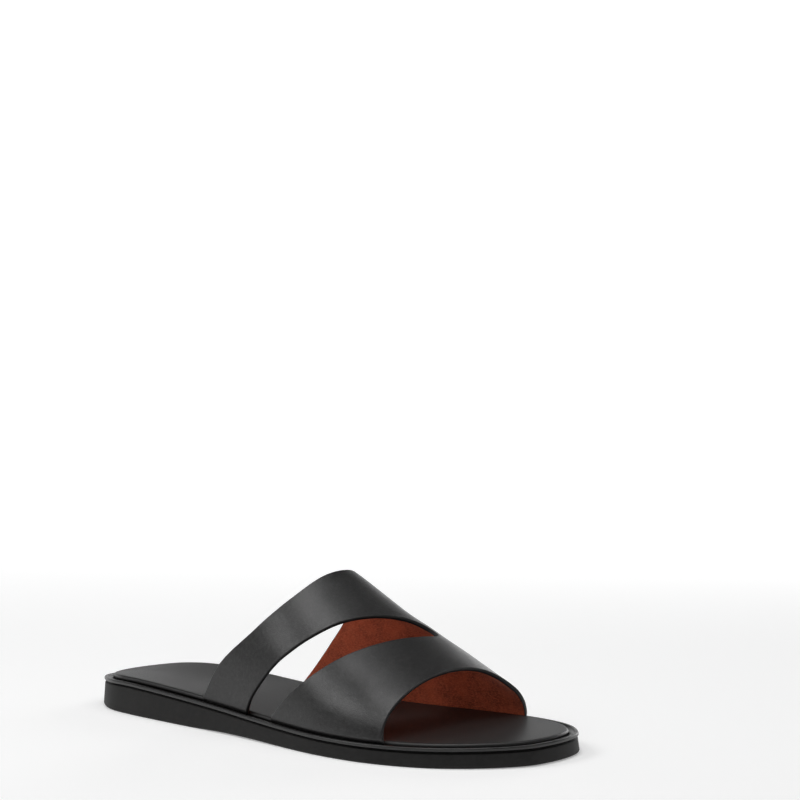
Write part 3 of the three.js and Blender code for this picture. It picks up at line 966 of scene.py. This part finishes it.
def make_leather():
    finish = Finish("black calf leather")
    cloud = finish.noise(38.0, detail=3.0)
    fine = finish.noise(1.6, detail=4.0, rough=0.6)
    islands = finish.between(finish.cells(0.85), 0.02, 0.16)
    swell = finish.noise(9.0, detail=2.0)
    edge_mark = finish.node("ShaderNodeAttribute", {"attribute_name": "cut_edge"}, None, output="Fac")
    face = finish.mix(finish.between(cloud, 0.3, 0.7), CALF_DARK, CALF_LIGHT)
    tone = finish.mix(finish.between(fine, 0.35, 0.75), face, CALF_THIN)
    height = islands * 0.35 + fine * 0.55 + swell * 1.2
    sockets = {
        "Base Color": finish.mix(edge_mark, tone, EDGE_PAINT),
        "Roughness": 0.35 + fine * 0.08 - cloud * 0.06 + edge_mark * 0.15,
        "Normal": finish.bump(height * (1 - edge_mark * 0.7), 0.08),
        "Coat Weight": 0.08,
        "Coat Roughness": 0.32,
        "Specular IOR Level": 0.5,
    }
    finish.connect(finish.shader, sockets)
    return finish


make_leather().give(leather, "upper_leather", "upper")

# %% [markdown]
# ## Rust-red suede
#
# Suede is leather with its fibres brushed up, so it has no gloss of its own but a soft sheen where it is
# seen edge on, and it is lighter or darker where the nap lies one way or the other. The nap is a fine noise
# stretched along the foot, and larger clouds of the same red stand for the brushed and unbrushed patches.

# %% Suede of the lining
SUEDE_DARK = (0.19, 0.028, 0.0105)
SUEDE_LIGHT = (0.45, 0.078, 0.030)
SUEDE_TIPS = (0.56, 0.125, 0.058)


def make_suede():
    finish = Finish("rust-red suede")
    cloud = finish.noise(9.0, detail=4.0, rough=0.6)
    nap = finish.noise(0.7, detail=5.0, rough=0.7, stretch=(0.6, 1, 1))
    patch = finish.mix(finish.between(cloud, 0.3, 0.7), SUEDE_DARK, SUEDE_LIGHT)
    sockets = {
        "Base Color": finish.mix(finish.between(nap, 0.3, 0.75), patch, SUEDE_TIPS),
        "Roughness": 0.88 + nap * 0.1,
        "Normal": finish.bump(nap + cloud * 0.5, 0.12),
        "Sheen Weight": 0.45,
        "Sheen Roughness": 0.45,
        "Sheen Tint": (1.0, 0.62, 0.5, 1.0),
        "Specular IOR Level": 0.2,
    }
    finish.connect(finish.shader, sockets)
    return finish


make_suede().give(lining, "lining")

# %% [markdown]
# ## Footbed leather
#
# The footbed is covered in a slightly shinier black leather, pressed flat, with a fine even grain. It gets
# its own clouds of roughness, because large calm surfaces are where a single value looks like plastic.

# %% Leather of the footbed
PAD_DARK = (0.0065, 0.0065, 0.0065)
PAD_LIGHT = (0.0105, 0.0103, 0.0103)
PAD_THIN = (0.0125, 0.0122, 0.0122)


def make_footbed_leather():
    finish = Finish("black footbed leather")
    cloud = finish.noise(45.0, detail=4.0)
    fine = finish.noise(1.1, detail=4.0, rough=0.6)
    islands = finish.between(finish.cells(0.7), 0.02, 0.15)
    face = finish.mix(finish.between(cloud, 0.3, 0.7), PAD_DARK, PAD_LIGHT)
    sockets = {
        "Base Color": finish.mix(finish.between(fine, 0.4, 0.8), face, PAD_THIN),
        "Roughness": 0.40 + fine * 0.10 + cloud * 0.06,
        "Normal": finish.bump(islands * 0.3 + fine * 0.4 + cloud * 0.8, 0.05),
        "Coat Weight": 0.10,
        "Coat Roughness": 0.3,
    }
    finish.connect(finish.shader, sockets)
    return finish


make_footbed_leather().give(footbed, "footbed_leather", "footbed")

# %% [markdown]
# ## Waxed rim
#
# The edge of the midsole is sanded, inked black and waxed, so it is smoother and glossier than rubber or
# leather. Sanding runs along the edge, and a noise drawn out along the foot gives its faint streaks.

# %% Rim
INK_DARK = (0.007, 0.007, 0.007)
INK_LIGHT = (0.014, 0.0135, 0.013)


def make_rim():
    finish = Finish("waxed black edge")
    streaks = finish.noise(1.2, detail=3.0, stretch=(0.12, 0.3, 1))
    cloud = finish.noise(25.0)
    sockets = {
        "Base Color": finish.mix(finish.between(streaks, 0.3, 0.8), INK_DARK, INK_LIGHT),
        "Roughness": 0.33 + streaks * 0.12 + cloud * 0.06,
        "Normal": finish.bump(streaks, 0.04),
        "Coat Weight": 0.2,
        "Coat Roughness": 0.25,
    }
    finish.connect(finish.shader, sockets)
    return finish


make_rim().give(midsole, "rim", "midsole")

# %% [markdown]
# ## Moulded rubber
#
# Rubber comes out of its mould matt and faintly mottled. Two noises, one of some millimetres for the
# mottling and one much finer for the skin, are enough, and a little brown in the black keeps it apart from
# the leather.

# %% Rubber
RUBBER_DARK = (0.006, 0.0056, 0.0054)
RUBBER_LIGHT = (0.012, 0.0114, 0.011)


def make_rubber():
    finish = Finish("black moulded rubber")
    mottle = finish.noise(3.5, detail=4.0, rough=0.6)
    skin = finish.noise(0.35, detail=2.0)
    sockets = {
        "Base Color": finish.mix(finish.between(mottle, 0.3, 0.75), RUBBER_DARK, RUBBER_LIGHT),
        "Roughness": 0.58 + mottle * 0.14,
        "Specular IOR Level": 0.32,
        "Normal": finish.bump(mottle * 0.7 + skin * 0.3, 0.06),
    }
    finish.connect(finish.shader, sockets)
    return finish


make_rubber().give(outsole, "sole_rubber", "outsole")

# %% [markdown]
# ## Studio
#
# The slide stands in a plain pale studio. Floor and walls are one big bowl, a profile turned about the
# vertical, so no horizon shows from any side. Black leather is drawn by what it mirrors: if everything
# round it were white, it would look grey. So the bowl glows only where the camera looks, on the floor and
# low on the far wall, and is dark higher up, like the black cloths that a photographer hangs over a set.

# %% Floor and walls
BOWL_CENTRE = 0.001
BOWL_FLAT = 2.3
BOWL_CURVE = 1.4
BOWL_HEIGHT = 3.6
BOWL_FLAT_RINGS = 12
BOWL_CURVE_RINGS = 16
BOWL_TURNS = 96
PALE = (0.8, 0.8, 0.8)
DARK = (0.05, 0.05, 0.05)
UNLIT = (0.0, 0.0, 0.0)
WHITE = (1.0, 1.0, 1.0)
GLOW_LOW = 0.3
GLOW_FAR = 0.5
GLOW_WALL = 0.2
FAR_FLOOR = (0.2, 1.4)
WALL_FOOT = (0.02, 0.12)
DARK_ABOVE = (0.85, 1.15)


def make_bowl():
    """A profile, flat, then a quarter circle, then straight up, turned about the vertical axis."""
    flat = np.linspace(BOWL_CENTRE, BOWL_FLAT, BOWL_FLAT_RINGS)
    a = np.linspace(0, math.pi / 2, BOWL_CURVE_RINGS)[1:]
    radius = np.concatenate([flat, BOWL_FLAT + BOWL_CURVE * np.sin(a), [BOWL_FLAT + BOWL_CURVE]])
    height = np.concatenate([flat * 0, BOWL_CURVE * (1 - np.cos(a)), [BOWL_HEIGHT]])
    turn = np.linspace(0, 2 * math.pi, BOWL_TURNS, endpoint=False)
    x = radius[:, None] * np.cos(turn)
    y = radius[:, None] * np.sin(turn)
    z = np.broadcast_to(height[:, None], x.shape)
    points = np.stack([x, y, z], axis=-1).reshape(-1, 3)
    numbers = np.arange(len(points)).reshape(x.shape)
    around = np.roll(numbers, -1, axis=1)
    quads = np.stack([numbers[:-1], around[:-1], around[1:], numbers[1:]], axis=-1).reshape(-1, 4)
    mesh = bpy.data.meshes.new("studio")
    mesh.from_pydata(points.tolist(), [], [*quads.tolist(), numbers[0][::-1].tolist()])
    mesh.shade_smooth()
    bowl = bpy.data.objects.new("studio", mesh)
    bpy.context.scene.collection.objects.link(bowl)
    mesh.materials.append(make_studio_paint().material)
    return bowl


def make_studio_paint():
    """Pale paint on the floor and low on the walls, dark above. Its glow adds up three parts: a faint
    one everywhere low, the floor behind the shoe, and the low wall behind the shoe."""
    finish = Finish("studio paint")
    where = finish.place()
    x, y, z = (finish.node("ShaderNodeSeparateXYZ", None, {0: where}, output=axis) for axis in "XYZ")
    behind = y * math.cos(CAMERA_TURN) - x * math.sin(CAMERA_TURN)
    far = finish.between(behind, *FAR_FLOOR)
    low = 1 - finish.between(z, *DARK_ABOVE)
    wall = finish.between(z, *WALL_FOOT)
    glow = low * (GLOW_LOW + far * (GLOW_FAR + wall * GLOW_WALL))
    finish.connect(finish.shader, {
        "Base Color": finish.mix(low, DARK, PALE),
        "Roughness": 0.9,
        "Specular IOR Level": 0.0,
        "Emission Color": finish.mix(glow, UNLIT, WHITE),
        "Emission Strength": 1.0,
    })
    return finish


make_bowl()

# %% [markdown]
# Five large soft boxes draw the slide. Each is given by where it hangs as the camera sees it: its angle
# round the shoe, counted from the camera to the right, its angle over the floor, and its power. The box
# overhead makes the sharp highlight over the shoulder of the rear strap, the left one and the one over the
# camera's left shoulder light the sides of both straps, the right one fills, and the low one behind the
# shoe draws the bright rim along the right of the instep.

# %% Lights
LIGHT_DISTANCE = 1.8
LIGHT_SIZE = 0.8
SOFT_BOXES = [
    {"name": "right box", "turn": 90, "lift": 60, "power": 3.0},
    {"name": "overhead box", "turn": 0, "lift": 89, "power": 10.0},
    {"name": "shoulder box", "turn": -30, "lift": 60, "power": 4.5},
    {"name": "left box", "turn": -84, "lift": 45, "power": 9.0},
    {"name": "back box", "turn": 145, "lift": 15, "power": 6.5},
]
WORLD_COLOUR = (0.9, 0.93, 1.0, 1.0)
WORLD_STRENGTH = 0.02


def soft_light(name, turn, lift, power):
    """A square lamp on a dome over the shoe, facing it."""
    turn, lift = math.radians(turn), math.radians(lift)
    ahead = np.array([math.sin(CAMERA_TURN), -math.cos(CAMERA_TURN), 0.0])
    flat = math.cos(turn) * ahead + math.sin(turn) * sideways
    z_axis = math.cos(lift) * flat + np.array([0.0, 0.0, math.sin(lift)])
    x_axis = np.cross((0, 0, 1), z_axis)
    x_axis /= np.linalg.norm(x_axis)
    lamp = bpy.data.lights.new(name, "AREA")
    lamp.size = LIGHT_SIZE
    lamp.energy = power
    light = bpy.data.objects.new(name, lamp)
    turned = Matrix((x_axis, np.cross(z_axis, x_axis), z_axis)).transposed().to_4x4()
    light.matrix_world = Matrix.Translation(LIGHT_DISTANCE * z_axis) @ turned
    bpy.context.scene.collection.objects.link(light)


for box in SOFT_BOXES:
    soft_light(**box)

world = bpy.data.worlds.new("studio")
bpy.context.scene.world = world
world.use_nodes = True
background = world.node_tree.nodes["Background"].inputs
background["Color"].default_value = WORLD_COLOUR
background["Strength"].default_value = WORLD_STRENGTH
bpy.context.scene.view_settings.view_transform = "Standard"
